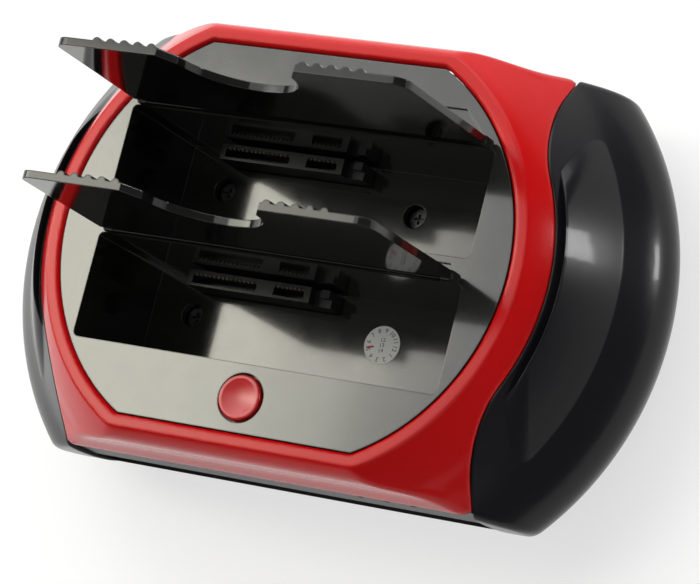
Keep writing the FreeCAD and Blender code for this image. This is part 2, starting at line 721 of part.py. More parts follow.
# ---------------------------------------------------------------------------
# Flaps: one leaf with a finger notch, ribs at its free edge and a barrel.

def leaf_edges():
    """The leaf seen from the front: x across, y up from the hinge line."""
    half = s.leaf_half_width
    top_half = half - s.leaf_taper
    top = s.leaf_length
    corner = s.leaf_corner
    step_x = half - s.ear_width - s.ear_inset - s.ear_gap
    step_y = s.barrel_radius + s.ear_gap
    r = s.notch_radius
    cy = s.notch_centre
    flare = s.notch_flare
    tip = r + flare
    skew = corner * (1 - math.sqrt(0.5))

    def p(x, y):
        return Vector(x, y, 0)

    right = [
        Part.LineSegment(p(-step_x, 0), p(step_x, 0)),
        Part.LineSegment(p(step_x, 0), p(step_x, step_y)),
        Part.LineSegment(p(step_x, step_y), p(half, step_y)),
        Part.LineSegment(p(half, step_y), p(top_half, top - corner)),
        Part.Arc(p(top_half, top - corner), p(top_half - skew, top - skew),
                 p(top_half - corner, top)),
        Part.LineSegment(p(top_half - corner, top), p(tip, top)),
        Part.LineSegment(p(tip, top), p(r, cy)),
    ]
    notch = [Part.Arc(p(r, cy), p(0, cy - r), p(-r, cy))]
    left = [
        Part.LineSegment(p(-r, cy), p(-tip, top)),
        Part.LineSegment(p(-tip, top), p(corner - top_half, top)),
        Part.Arc(p(corner - top_half, top), p(skew - top_half, top - skew),
                 p(-top_half, top - corner)),
        Part.LineSegment(p(-top_half, top - corner), p(-half, step_y)),
        Part.LineSegment(p(-half, step_y), p(-step_x, step_y)),
        Part.LineSegment(p(-step_x, step_y), p(-step_x, 0)),
    ]
    return right + notch + left


def make_flap(name, back):
    flap = new_body(name + "Flap")
    # On the XZ plane a sketch's normal points to -Y, so depths are negated.
    face = free_profile(flap, "XZ_Plane", name + "Leaf", leaf_edges(),
                        y="deck_height + hinge_height",
                        z="-(%s + leaf_gap)" % back)
    pad(flap, face, "leaf_thick", down=True)
    barrel = centred_circle(
        sketch(flap, "YZ_Plane", name + "Barrel", x=hinge_y(back),
               y="deck_height + hinge_height",
               z="-(leaf_half_width - ear_width - ear_inset - ear_gap)"),
        "barrel_radius")
    pad(flap, barrel, "2 * (leaf_half_width - ear_width - ear_inset - ear_gap)")
    bore = centred_circle(
        sketch(flap, "YZ_Plane", name + "Bore", x=hinge_y(back),
               y="deck_height + hinge_height", z="leaf_half_width"),
        "rod_radius + rod_clearance")
    pocket(flap, bore, "2 * leaf_half_width")
    # Finger ribs: half-round bars on the back, side by side near the free edge.
    for side in (-1, 1):
        tag = name + ("Left" if side < 0 else "Right")
        first = "rib_first" if side > 0 else "-(rib_first + rib_pitch * (rib_count - 1))"
        rib = centred_circle(
            sketch(flap, "XY_Plane", tag + "Rib", x=first,
                   y="%s + leaf_gap + leaf_thick + rib_proud - rib_radius" % back,
                   z="deck_height + hinge_height + leaf_length"),
            "rib_radius")
        bar = pad(flap, rib, "rib_length", down=True)
        row = flap.newObject("PartDesign::LinearPattern", tag + "Ribs")
        row.Originals = [bar]
        row.Direction = (rib, ["H_Axis"])
        bind(row, Length="rib_pitch * (rib_count - 1)", Occurrences="rib_count")
        flap.Tip = row
    return flap


for name, back in BAYS:
    keep(make_flap(name, back), name.lower() + "_door")
    pin = lying_rod(name + "Rod", "-(leaf_half_width - ear_inset)", hinge_y(back),
                    "deck_height + hinge_height", "rod_radius",
                    "2 * (leaf_half_width - ear_inset)", Vector(1, 0, 0))
    keep(pin, name.lower() + "_hinge_rod")


# ---------------------------------------------------------------------------
# Drive sockets: a housing with two slots, and 22 spring contacts.

def contact_places():
    power = [s.socket_x + s.first_contact + i * s.contact_pitch
             for i in range(int(s.power_contacts))]
    start = power[-1] + s.segment_step
    return power, [start + i * s.contact_pitch for i in range(int(s.signal_contacts))]


def make_socket(back):
    power, signal = contact_places()
    foot = level(s.board_drop)
    top = level(s.socket_drop)
    y1 = back - s.socket_back_gap
    y0 = y1 - s.socket_depth
    block = Part.makeBox(s.socket_width, s.socket_depth, top - foot,
                         Vector(s.socket_x, y0, foot))
    # The key beside the slots: a low block with an upright tongue at its back.
    end = s.socket_x + s.socket_width
    step = s.socket_depth / 2
    key = Part.makeBox(s.ear_block, s.socket_depth, top - foot - s.ear_drop,
                       Vector(end, y0, foot))
    tongue = Part.makeBox(s.ear_block / 2, step, top - foot - s.ear_drop / 3,
                          Vector(end + s.ear_block / 2, y0 + step, foot))
    block = block.fuse(key).fuse(tongue)
    slot_y = y0 + s.slot_margin
    for run in (power, signal):
        wide = run[-1] - run[0] + s.contact_pitch
        slot = Part.makeBox(wide, s.slot_width, s.slot_depth,
                            Vector(run[0] - s.contact_pitch / 2, slot_y, top - s.slot_depth))
        block = block.cut(slot)
        for x in run:
            groove = Part.makeBox(s.contact_width, s.contact_thick + s.contact_room, s.slot_depth,
                                  Vector(x - s.contact_width / 2,
                                         slot_y + s.slot_width, top - s.slot_depth))
            block = block.cut(groove)
    return block.removeSplitter()


def make_contacts(back):
    power, signal = contact_places()
    top = level(s.socket_drop)
    y0 = back - s.socket_back_gap - s.socket_depth + s.slot_margin + s.slot_width
    strips = []
    for x in power + signal:
        tall = s.slot_depth - s.contact_width
        strip = Part.makeBox(s.contact_width, s.contact_thick, tall,
                             Vector(x - s.contact_width / 2, y0 + s.contact_room, top - s.slot_depth))
        strips.append(strip)
    return Part.makeCompound(strips)


for name, _ in BAYS:
    back = back_value(name)
    keep(solid(name + "Socket", make_socket(back)), name.lower() + "_drive_socket")
    keep(solid(name + "Contacts", make_contacts(back)), name.lower() + "_socket_contacts")


# ---------------------------------------------------------------------------
# Main board and what stands on it.

board_z = "deck_height - board_drop - board_thick"
board = new_body("MainBoard")
plate = centred_rectangle(
    sketch(board, "XY_Plane", "BoardOutline", y="(%s - %s) / 2" % (BOARD_BACK, BOARD_FRONT),
           z=board_z), "2 * board_half_width", "%s + %s" % (BOARD_BACK, BOARD_FRONT))
pad(board, plate, "board_thick")
for index, (x, y) in enumerate(bay_screw_places()):
    hole = centred_circle(sketch(board, "XY_Plane", "BossHole%d" % index, x=str(x),
                                 y=str(y), z="deck_height - board_drop"),
                          "well_radius + well_wall + board_play")
    pocket(board, hole, "board_thick")
for index, (x, y) in enumerate(four(1, 1)):
    hole = centred_circle(
        sketch(board, "XY_Plane", "FixHole%d" % index, x="%g * standoff_x" % x,
               y="%g * standoff_y" % y, z="deck_height - board_drop"),
        "screw_radius + screw_clearance")
    pocket(board, hole, "board_thick")
keep(board, "main_board")

chip = box("Chip", "chip_x", "chip_y", "deck_height - board_drop",
           "chip_side", "chip_side", "chip_height")
keep(chip, "bridge_chip")
cans = [rod("Can%d" % i, "can_x + %d * can_pitch" % i, "-(%s - 2 * can_radius)" % BOARD_FRONT,
            "deck_height - board_drop", "can_radius", "can_height") for i in range(4)]
keep(solid("Cans", Part.makeCompound([])), "capacitors")


def metal_port(name, x, width, height, depth, lining):
    """A sheet-metal shell round a tongue; its mouth stands proud of the panel."""
    y = "case_half_depth + port_proud - rear_panel_inset - (%s) / 2" % depth
    z = "deck_height - board_drop"
    outer = box(name + "Can", x, y, z, width, depth, height)
    room = box(name + "Room", x, y + " + 1", "%s + %s" % (z, lining),
               "%s - 2 * %s" % (width, lining), depth, "%s - 2 * %s" % (height, lining))
    tongue = box(name + "Tongue", x, y + " - tongue_sunk / 2",
                 "%s + (%s) / 2 - tongue_thick / 2" % (z, height),
                 "(%s) * tongue_share" % width, "(%s) - tongue_sunk" % depth, "tongue_thick")
    return fuse(name, [cut(name + "Shell", outer, [room]), tongue])


usb = metal_port("UsbPort", "usb_x", "usb_width", "usb_height", "usb_depth", "usb_wall")
keep(usb, "usb_port")
esata = metal_port("EsataPort", "esata_x", "esata_width", "esata_height",
                   "esata_depth", "esata_wall")
keep(esata, "esata_port")

jack_y = "case_half_depth + port_proud - rear_panel_inset - jack_depth / 2"
jack_box = box("JackBox", "jack_x", jack_y, "deck_height - board_drop",
               "jack_width", "jack_depth", "jack_height")
jack_bore = lying_rod("JackBore", "jack_x",
                      "case_half_depth + port_proud - rear_panel_inset - jack_bore_depth",
                      "deck_height - board_drop + jack_height / 2",
                      "jack_bore / 2", "jack_bore_depth", Vector(0, 1, 0))
jack_pin = lying_rod("JackPin", "jack_x",
                     "case_half_depth + port_proud - rear_panel_inset - jack_bore_depth - 1",
                     "deck_height - board_drop + jack_height / 2",
                     "jack_pin / 2", "jack_bore_depth", Vector(0, 1, 0))
keep(fuse("DcJack", [cut("JackShell", jack_box, [jack_bore]), jack_pin]), "dc_jack")

# Push switch for power: a body on the board and a square cap that slides in it.
power_face = "case_half_depth + port_proud - rear_panel_inset"
power_mid = "deck_height - board_drop + power_side / 2"
power_body = box("PowerBody", "power_x", power_face + " - power_depth / 2",
                 "deck_height - board_drop", "power_side", "power_depth", "power_side")
power_room = box("PowerRoom", "power_x", power_face + " - power_depth / 2 + power_back",
                 power_mid + " - power_cap / 2 - cap_room", "power_cap + 2 * cap_room",
                 "power_depth", "power_cap + 2 * cap_room")
keep(cut("PowerSwitch", power_body, [power_room]), "power_switch")
cap_length = "power_depth - power_back - power_travel - 2 * cap_room + power_cap_proud"
power_cap = box("PowerCap", "power_x",
                "%s + power_cap_proud - (%s) / 2" % (power_face, cap_length),
                power_mid + " - power_cap / 2", "power_cap", cap_length, "power_cap")
keep(power_cap, "power_button")


# ---------------------------------------------------------------------------
# Copy button with its boot, switch and small board.

def make_button():
    """A round cap with a dished top and a flange under the deck."""
    top = s.deck_height + s.button_proud
    under = level(s.button_skirt)
    flange_top = level(s.deck_thick + s.flange_gap)
    r = s.button_radius

    def p(x, z):
        return Vector(x, z, 0)

    edge = s.button_edge
    skew = edge * (1 - math.sqrt(0.5))
    stem = r - s.flange_thick
    rim = r - 2 * edge
    # The dish is part of a ball whose centre is on the axis.
    ball = (rim ** 2 + s.button_dish ** 2) / (2 * s.button_dish)
    middle = top - s.button_dish + ball
    lean = math.asin(rim / ball) / 2
    outline = [
        Part.LineSegment(p(0, under), p(stem, under)),
        Part.LineSegment(p(stem, under), p(stem, flange_top - s.flange_thick)),
        Part.LineSegment(p(stem, flange_top - s.flange_thick),
                         p(s.flange_radius, flange_top - s.flange_thick)),
        Part.LineSegment(p(s.flange_radius, flange_top - s.flange_thick),
                         p(s.flange_radius, flange_top)),
        Part.LineSegment(p(s.flange_radius, flange_top), p(r, flange_top)),
        Part.LineSegment(p(r, flange_top), p(r, top - edge)),
        Part.Arc(p(r, top - edge), p(r - skew, top - skew), p(r - edge, top)),
        Part.LineSegment(p(r - edge, top), p(rim, top)),
        Part.Arc(p(rim, top), p(ball * math.sin(lean), middle - ball * math.cos(lean)),
                 p(0, top - s.button_dish)),
        Part.LineSegment(p(0, top - s.button_dish), p(0, under)),
    ]
    return outline


button = new_body("CopyButton")
# The XZ plane's normal points to -Y, so the button's place there is negated.
turned = free_profile(button, "XZ_Plane", "ButtonProfile", make_button(), z="-button_y")
revolve = button.newObject("PartDesign::Revolution", "ButtonTurn")
revolve.Profile = turned
revolve.ReferenceAxis = (turned, ["V_Axis"])
revolve.Angle = 360.0
keep(button, "backup_button")

board_top = "deck_height - " + BOARD_HANG
switch_board = new_body("SwitchBoard")
outline = centred_rectangle(
    sketch(switch_board, "XY_Plane", "SwitchBoardOutline", y="button_y",
           z=board_top + " - board_thick"), "switch_board_width", "switch_board_depth")
pad(switch_board, outline, "board_thick")
for side in (-1, 1):
    tag = "Left" if side < 0 else "Right"
    hole = centred_circle(sketch(switch_board, "XY_Plane", tag + "SwitchBoardHole",
                                 x="%d * switch_post_x" % side, y="button_y",
                                 z=board_top), "screw_radius + screw_clearance")
    pocket(switch_board, hole, "board_thick")
keep(switch_board, "switch_board")

switch_body = box("SwitchBody", "0", "button_y", board_top, "switch_side",
                  "switch_side", "switch_body")
plunger = rod("Plunger", "0", "button_y", board_top + " + switch_body",
              "plunger_radius", "plunger_length")
keep(fuse("TactSwitch", [switch_body, plunger]), "tact_switch")


def boot_cone(name, inset):
    """A cone from the switch board up to just below the button's flange."""
    cone = doc.addObject("Part::Cone", name)
    bind(cone, Radius1="boot_foot_radius - %s" % inset, Radius2="boot_neck_radius - %s" % inset,
         Height=BOARD_HANG + " - deck_thick - 2 * flange_gap - flange_thick",
         Placement__Base__y="button_y", Placement__Base__z=board_top)
    return cone


# The rubber boot that pushes the button back up.
keep(cut("Boot", boot_cone("BootOuter", "0"), [boot_cone("BootInner", "boot_wall")]),
     "button_boot")


# ---------------------------------------------------------------------------
# Screws, lamps, feet and the inspection sticker.

def screw(x, y, seat, length, up=False):
    """A pan-head screw with a cross recess; seat is the face its head rests on."""
    head = Part.makeCylinder(s.screw_head_radius, s.screw_head_height)
    shank = Part.makeCylinder(s.screw_radius, length, Vector(0, 0, -length))
    arm = s.screw_head_radius
    wide = s.cross_width
    deep = s.screw_head_height / 2
    slot = Part.makeBox(arm, wide, s.screw_head_height, Vector(-arm / 2, -wide / 2, deep))
    cross = slot.fuse(slot.rotated(Vector(0, 0, 0), Vector(0, 0, 1), 90))
    shape = head.fuse(shank).cut(cross)
    if up:
        shape.rotate(Vector(0, 0, 0), Vector(1, 0, 0), 180)
    shape.translate(Vector(x, y, seat))
    return shape


bay_seat = level(s.board_drop + s.head_sink)
keep(solid("BayScrews", Part.makeCompound(
    [screw(x, y, bay_seat, bay_seat - boss_top + s.thread_length) for x, y in bay_screw_places()])),
    "bay_screws")
keep(solid("BoardScrews", Part.makeCompound(
    [screw(x, y, level(s.board_drop), s.board_thick + s.thread_length)
     for x, y in four(s.standoff_x, s.standoff_y)])), "board_screws")
case_seat = s.foot_height + s.screw_head_height + s.screw_clearance
keep(solid("CaseScrews", Part.makeCompound(
    [screw(x, y, case_seat, 2 * s.thread_length, up=True) for x, y in case_screw_places()])),
    "case_screws")
keep(solid("SwitchScrews", Part.makeCompound(
    [screw(side * s.switch_post_x, s.button_y,
           switch_board_top - s.board_thick, s.board_thick + s.thread_length, up=True)
     for side in (-1, 1)])), "switch_board_screws")


def make_lamps():
    lamps = []
    for index in (-1, 0, 1):
        x = s.lamp_x + index * s.lamp_pitch
        pipe = Part.makeCylinder(s.lamp_radius, s.case_half_depth - s.lamp_sunk - board_front + s.bite,
                                 Vector(x, -s.case_half_depth + s.lamp_sunk, level(s.lamp_drop)),
                                 Vector(0, 1, 0))
        leg = Part.makeBox(2 * s.lamp_radius, s.lamp_leg, s.board_drop - s.lamp_drop + s.lamp_radius,
                           Vector(x - s.lamp_radius, -board_front, level(s.board_drop)))
        lamps.append(pipe.fuse(leg))
    return Part.makeCompound(lamps)


keep(solid("Lamps", make_lamps()), "status_lamps")
keep(solid("Feet", Part.makeCompound(
    [upright(x, y, 0.0, s.foot_height, s.foot_radius)
     for x, y in four(s.foot_x, s.foot_y)])), "rubber_feet")
sticker_x, sticker_y = bay_screw_places()[2]
keep(rod("Sticker", str(sticker_x), str(sticker_y), "deck_height - bay_depth",
         "sticker_radius", "sticker_thick"), "inspection_sticker")

doc.recompute()
cap_node = next(n for n in nodes if n.Label == "capacitors")
cap_node.Shape = Part.makeCompound([can.Shape.copy() for can in cans])

# ---------------------------------------------------------------------------
# Check every object, then write one file per sub-part.

doc.recompute()
faults = [o.Name for o in doc.Objects
          if any(word in ("Invalid", "Error") for word in o.State)]
for node in nodes:
    if node.Shape.isNull() or not node.Shape.isValid():
        faults.append(node.Label)
if faults:
    raise RuntimeError("Faulty objects: %s" % ", ".join(faults))

os.makedirs("parts", exist_ok=True)
for node in nodes:
    node.Shape.exportStep("parts/%s.step" % node.Label)
print("%d sub-parts written" % len(nodes))
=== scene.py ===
import math

import bmesh
import bpy
from mathutils import Matrix, Vector


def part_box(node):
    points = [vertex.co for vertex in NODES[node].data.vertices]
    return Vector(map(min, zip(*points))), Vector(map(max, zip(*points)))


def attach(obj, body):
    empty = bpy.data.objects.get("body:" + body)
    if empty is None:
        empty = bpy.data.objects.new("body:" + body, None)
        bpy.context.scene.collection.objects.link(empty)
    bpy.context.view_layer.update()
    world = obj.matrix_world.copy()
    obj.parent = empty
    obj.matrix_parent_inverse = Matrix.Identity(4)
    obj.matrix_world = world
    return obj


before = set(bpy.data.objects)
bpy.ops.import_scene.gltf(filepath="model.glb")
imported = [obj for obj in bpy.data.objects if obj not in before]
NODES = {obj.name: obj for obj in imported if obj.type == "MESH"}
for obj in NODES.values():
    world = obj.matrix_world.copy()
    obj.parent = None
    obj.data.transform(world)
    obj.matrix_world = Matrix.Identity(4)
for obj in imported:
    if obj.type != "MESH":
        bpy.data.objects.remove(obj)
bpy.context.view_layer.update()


# ---------------------------------------------------------------------------
# Materials

BROAD_SCALE = 14.0
SPECK_SCALE = 1400.0
SMEAR_SCALE = 160.0
SPECK_BAND = (0.66, 0.74)
DUST_COLOUR = (0.20, 0.20, 0.18, 1)
COAT_ROUGH = 0.06
SINK_STRENGTH = 0.25
BEVEL_SAMPLES = 6


def new_material(name):
    """A node material with its principled shader and its output."""
    material = bpy.data.materials.new(name)
    material.use_nodes = True
    nodes = material.node_tree.nodes
    return material, nodes, material.node_tree.links, nodes["Principled BSDF"]


def place(nodes, links, scale):
    """Object coordinates, scaled: the texture stays with the piece."""
    coords = nodes.new("ShaderNodeTexCoord")
    mapping = nodes.new("ShaderNodeMapping")
    mapping.inputs["Scale"].default_value = scale
    links.new(coords.outputs["Object"], mapping.inputs["Vector"])
    return mapping.outputs["Vector"]


def noise(nodes, links, vector, scale, detail=3.0, rough=0.5):
    """A noise texture's value, from 0 to 1."""
    texture = nodes.new("ShaderNodeTexNoise")
    texture.inputs["Scale"].default_value = scale
    texture.inputs["Detail"].default_value = detail
    texture.inputs["Roughness"].default_value = rough
    links.new(vector, texture.inputs["Vector"])
    return texture.outputs["Fac"]


def ramp(nodes, links, fac, low, high, start=0.35, stop=0.65):
    """A colour ramp from low to high."""
    blend = nodes.new("ShaderNodeValToRGB")
    blend.color_ramp.elements[0].position = start
    blend.color_ramp.elements[1].position = stop
    blend.color_ramp.elements[0].color = (*low, 1)
    blend.color_ramp.elements[1].color = (*high, 1)
    links.new(fac, blend.inputs["Fac"])
    return blend.outputs["Color"]


def spread(nodes, links, fac, low, high):
    """Maps a 0 to 1 value onto low to high."""
    span = nodes.new("ShaderNodeMapRange")
    span.inputs["To Min"].default_value = low
    span.inputs["To Max"].default_value = high
    links.new(fac, span.inputs["Value"])
    return span.outputs["Result"]


def bump(nodes, links, fac, strength, distance, shader, edge=0.0):
    """Relief from a 0 to 1 value, on edges that are rounded to a small radius."""
    height = nodes.new("ShaderNodeBump")
    if edge:
        rounded = nodes.new("ShaderNodeBevel")
        rounded.samples = BEVEL_SAMPLES
        rounded.inputs["Radius"].default_value = edge
        links.new(rounded.outputs["Normal"], height.inputs["Normal"])
    height.inputs["Strength"].default_value = strength
    height.inputs["Distance"].default_value = distance
    links.new(fac, height.inputs["Height"])
    links.new(height.outputs["Normal"], shader.inputs["Normal"])


def gloss_plastic(name, low, high, rough=(0.06, 0.12), coat=0.0, shine=0.4, ripple=0.00002,
                  edge=0.0004, dust=0.0):
    """Moulded gloss plastic: a faint sink ripple, smears, specks of dust and a clear skin."""
    material, nodes, links, shader = new_material(name)
    vector = place(nodes, links, (1, 1, 1))
    broad = noise(nodes, links, vector, BROAD_SCALE)
    fine = noise(nodes, links, vector, SPECK_SCALE, 4.0, 0.7)
    smears = noise(nodes, links, vector, SMEAR_SCALE, 5.0, 0.75)
    colour = ramp(nodes, links, broad, low, high)
    if dust:
        specks = ramp(nodes, links, fine, (0, 0, 0), (dust, dust, dust), *SPECK_BAND)
        lighter = nodes.new("ShaderNodeMixRGB")
        lighter.inputs["Color2"].default_value = DUST_COLOUR
        links.new(specks, lighter.inputs["Fac"])
        links.new(colour, lighter.inputs["Color1"])
        colour = lighter.outputs["Color"]
    links.new(colour, shader.inputs["Base Color"])
    links.new(spread(nodes, links, smears, *rough), shader.inputs["Roughness"])
    shader.inputs["Specular IOR Level"].default_value = shine
    shader.inputs["Coat Weight"].default_value = coat
    shader.inputs["Coat Roughness"].default_value = COAT_ROUGH
    bump(nodes, links, broad, SINK_STRENGTH, ripple, shader, edge)
    return material


def satin_plastic(name, low, high, rough=(0.35, 0.55), grain=1500.0, depth=0.00003):
    """Moulded plastic with a fine spark-eroded grain."""
    material, nodes, links, shader = new_material(name)
    vector = place(nodes, links, (1, 1, 1))
    grains = noise(nodes, links, vector, grain, 2.0)
    broad = noise(nodes, links, vector, 40.0)
    links.new(ramp(nodes, links, broad, low, high), shader.inputs["Base Color"])
    links.new(spread(nodes, links, grains, *rough), shader.inputs["Roughness"])
    bump(nodes, links, grains, 0.35, depth, shader)
    return material


def metal(name, low, high, rough=(0.2, 0.35), stretch=(1, 1, 1), scale=600.0):
    """Drawn or plated metal with fine scratches along one direction."""
    material, nodes, links, shader = new_material(name)
    vector = place(nodes, links, stretch)
    lines = noise(nodes, links, vector, scale, 4.0, 0.6)
    links.new(ramp(nodes, links, lines, low, high), shader.inputs["Base Color"])
    links.new(spread(nodes, links, lines, *rough), shader.inputs["Roughness"])
    shader.inputs["Metallic"].default_value = 1.0
    bump(nodes, links, lines, 0.2, 0.00001, shader)
    return material


RED_GLOSS = gloss_plastic("red_gloss", (0.49, 0.0024, 0.003), (0.54, 0.004, 0.005),
                          rough=(0.13, 0.19), shine=0.22, ripple=0.000005, edge=0.0014)
RED_CAP = gloss_plastic("red_cap", (0.50, 0.008, 0.010), (0.56, 0.012, 0.014),
                        rough=(0.24, 0.34), shine=0.6)
DECK_GLOSS = gloss_plastic("deck_gloss", (0.011, 0.011, 0.009), (0.017, 0.017, 0.014),
                           rough=(0.04, 0.20), coat=0.6, shine=0.5, dust=0.5)
POD_GLOSS = gloss_plastic("pod_gloss", (0.0045, 0.0045, 0.006), (0.007, 0.007, 0.009),
                          rough=(0.24, 0.28), coat=0.12, shine=0.2, edge=0.0008)
FLAP_GLOSS = gloss_plastic("flap_gloss", (0.005, 0.005, 0.005), (0.008, 0.008, 0.007),
                           rough=(0.03, 0.11), shine=0.4, dust=0.2)
CASE_SATIN = satin_plastic("case_satin", (0.010, 0.010, 0.010), (0.018, 0.018, 0.018))
SOCKET_BLACK = satin_plastic("socket_black", (0.008, 0.008, 0.008), (0.014, 0.014, 0.014),
                             rough=(0.28, 0.42))
CONTACT = metal("contact_gold", (0.80, 0.66, 0.38), (0.95, 0.82, 0.52), rough=(0.3, 0.45))
STEEL = metal("steel", (0.45, 0.45, 0.46), (0.62, 0.62, 0.63), stretch=(1, 1, 12))
ROD_STEEL = metal("rod_steel", (0.40, 0.40, 0.41), (0.60, 0.60, 0.61), stretch=(0.1, 1, 1))
SCREW_BLACK = metal("screw_black", (0.03, 0.03, 0.03), (0.07, 0.07, 0.07), rough=(0.25, 0.4))
BOARD_GREEN = satin_plastic("board_green", (0.010, 0.10, 0.035), (0.016, 0.15, 0.05),
                            grain=500.0)
CHIP_BLACK = satin_plastic("chip_black", (0.012, 0.012, 0.012), (0.020, 0.020, 0.020))
CAN = metal("can_aluminium", (0.60, 0.60, 0.60), (0.75, 0.75, 0.75), stretch=(1, 1, 0.1))
LAMP = satin_plastic("lamp_clear", (0.55, 0.55, 0.55), (0.70, 0.70, 0.70), rough=(0.15, 0.25))
RUBBER = satin_plastic("foot_rubber", (0.010, 0.010, 0.010), (0.020, 0.020, 0.020),
                       rough=(0.6, 0.8))
PAPER = satin_plastic("sticker_paper", (0.80, 0.80, 0.78), (0.88, 0.88, 0.86), rough=(0.4, 0.6))

DRESS = {
    "top_shell": RED_GLOSS, "backup_button": RED_CAP, "deck_tray": DECK_GLOSS,
    "left_side_pod": POD_GLOSS, "right_side_pod": POD_GLOSS,
    "front_door": FLAP_GLOSS, "rear_door": FLAP_GLOSS,
    "front_panel": CASE_SATIN, "rear_panel": CASE_SATIN, "base_shell": CASE_SATIN,
    "power_switch": CASE_SATIN, "power_button": CASE_SATIN, "dc_jack": CASE_SATIN,
    "tact_switch": CASE_SATIN,
    "front_drive_socket": SOCKET_BLACK, "rear_drive_socket": SOCKET_BLACK,
    "front_socket_contacts": CONTACT, "rear_socket_contacts": CONTACT,
    "front_hinge_rod": ROD_STEEL, "rear_hinge_rod": ROD_STEEL,
    "usb_port": STEEL, "esata_port": STEEL,
    "bay_screws": SCREW_BLACK, "board_screws": SCREW_BLACK, "case_screws": SCREW_BLACK,
    "switch_board_screws": SCREW_BLACK, "main_board": BOARD_GREEN, "switch_board": BOARD_GREEN,
    "bridge_chip": CHIP_BLACK, "capacitors": CAN, "status_lamps": LAMP,
    "rubber_feet": RUBBER, "button_boot": RUBBER, "inspection_sticker": PAPER,
}
for node, material in DRESS.items():
    mesh_slots = NODES[node].data.materials
    mesh_slots.clear()
    mesh_slots.append(material)


# ---------------------------------------------------------------------------
# The date dial printed on the round sticker: plain numbers and one red mark

GREY_INK = satin_plastic("grey_ink", (0.04, 0.04, 0.045), (0.09, 0.09, 0.095), rough=(0.5, 0.6))
RED_INK = satin_plastic("red_ink", (0.50, 0.03, 0.03), (0.62, 0.05, 0.05), rough=(0.5, 0.6))
INK_THICK = 0.00003


def numeral(text, size, x, y, turn):
    """Flat numbers of one size, centred on a point and turned to face it."""
    curve = bpy.data.curves.new("numeral_" + text, "FONT")
    curve.body = text
    curve.size = size
    curve.align_x = "CENTER"
    curve.align_y = "CENTER"
    curve.resolution_u = 3
    curve.extrude = INK_THICK / 2
    holder = bpy.data.objects.new("numeral_" + text, curve)
    mesh = bpy.data.meshes.new_from_object(holder)
    mesh.transform(Matrix.Translation((x, y, 0)) @ Matrix.Rotation(turn, 4, "Z"))
    bpy.data.objects.remove(holder)
    bpy.data.curves.remove(curve)
    return mesh


def print_on(name, meshes, at, material):
    """One piece of print from several flat meshes, riding on the case."""
    bm = bmesh.new()
    for mesh in meshes:
        bm.from_mesh(mesh)
        bpy.data.meshes.remove(mesh)
    bmesh.ops.translate(bm, verts=bm.verts, vec=at)
    whole = bpy.data.meshes.new(name)
    bm.to_mesh(whole)
    bm.free()
    piece = bpy.data.objects.new(name, whole)
    piece.data.materials.append(material)
    bpy.context.scene.collection.objects.link(piece)
    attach(piece, "case")


def stroke_mesh(length, width):
    """A short printed bar with tapered ends."""
    outline = ((-0.5, -0.2), (-0.5, 0.2), (-0.4, 0.5), (0.4, 0.5), (0.5, 0.2), (0.5, -0.2),
               (0.4, -0.5), (-0.4, -0.5))
    bm = bmesh.new()
    face = bm.faces.new([bm.verts.new((x * length, y * width, -INK_THICK / 2))
                         for x, y in reversed(outline)])
    top = bmesh.ops.extrude_face_region(bm, geom=[face])
    raised = [part for part in top["geom"] if isinstance(part, bmesh.types.BMVert)]
    bmesh.ops.translate(bm, verts=raised, vec=(0, 0, INK_THICK))
    bmesh.ops.recalc_face_normals(bm, faces=bm.faces)
    mesh = bpy.data.meshes.new("stroke")
    bm.to_mesh(mesh)
    bm.free()
    return mesh


dial_low, dial_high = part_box("inspection_sticker")
dial_radius = (dial_high[0] - dial_low[0]) / 2
dial_at = ((dial_low[0] + dial_high[0]) / 2, (dial_low[1] + dial_high[1]) / 2,
           dial_high[2] + INK_THICK)
# Sizes and places on the dial are shares of its radius; turns are in degrees.
MONTHS = 12
TOP_NUMBER = 8.8
MONTH_SIZE = 0.34
MONTH_RING = 0.76
MIDDLE_SIZE = 0.30
MIDDLE_TURN = 0.2  # radians
MIDDLE_ROWS = (("12", 0.26), ("13", -0.02), ("14", -0.30))
MARK_LENGTH = 0.44
MARK_WIDTH = 0.10
MARK_RING = 0.66
MARK_TURN = 196

dial_numbers = []
for month in range(1, MONTHS + 1):
    angle = math.radians(90 - 360 / MONTHS * (month - TOP_NUMBER))
    dial_numbers.append(numeral(str(month), dial_radius * MONTH_SIZE,
                                dial_radius * MONTH_RING * math.cos(angle),
                                dial_radius * MONTH_RING * math.sin(angle), angle - math.pi / 2))
for text, height in MIDDLE_ROWS:
    dial_numbers.append(numeral(text, dial_radius * MIDDLE_SIZE, 0.0, dial_radius * height,
                                MIDDLE_TURN))
print_on("dial_numbers", dial_numbers, dial_at, GREY_INK)
stroke = stroke_mesh(dial_radius * MARK_LENGTH, dial_radius * MARK_WIDTH)
stroke.transform(Matrix.Rotation(math.radians(MARK_TURN), 4, "Z")
                 @ Matrix.Translation((dial_radius * MARK_RING, 0, 0)))
raised_at = (dial_at[0], dial_at[1], dial_at[2] + INK_THICK / 2)
print_on("dial_mark", [stroke], raised_at, RED_INK)


# ---------------------------------------------------------------------------
# Floor, light and camera

FLOOR_RADIUS = 30.0
FLOOR_SEGMENTS = 96
FLOOR_GLOW = 0.65  # share of plain white that the camera, mirrors and glass see


def disc(name, radius, z):
    """A big round floor made of one face."""
    mesh = bpy.data.meshes.new(name)
    bm = bmesh.new()
    bmesh.ops.create_circle(bm, cap_ends=True, radius=radius, segments=FLOOR_SEGMENTS)
    bmesh.ops.translate(bm, verts=bm.verts, vec=(0, 0, z))
    bm.to_mesh(mesh)
    bm.free()
    piece = bpy.data.objects.new(name, mesh)
    bpy.context.scene.collection.objects.link(piece)
    return piece


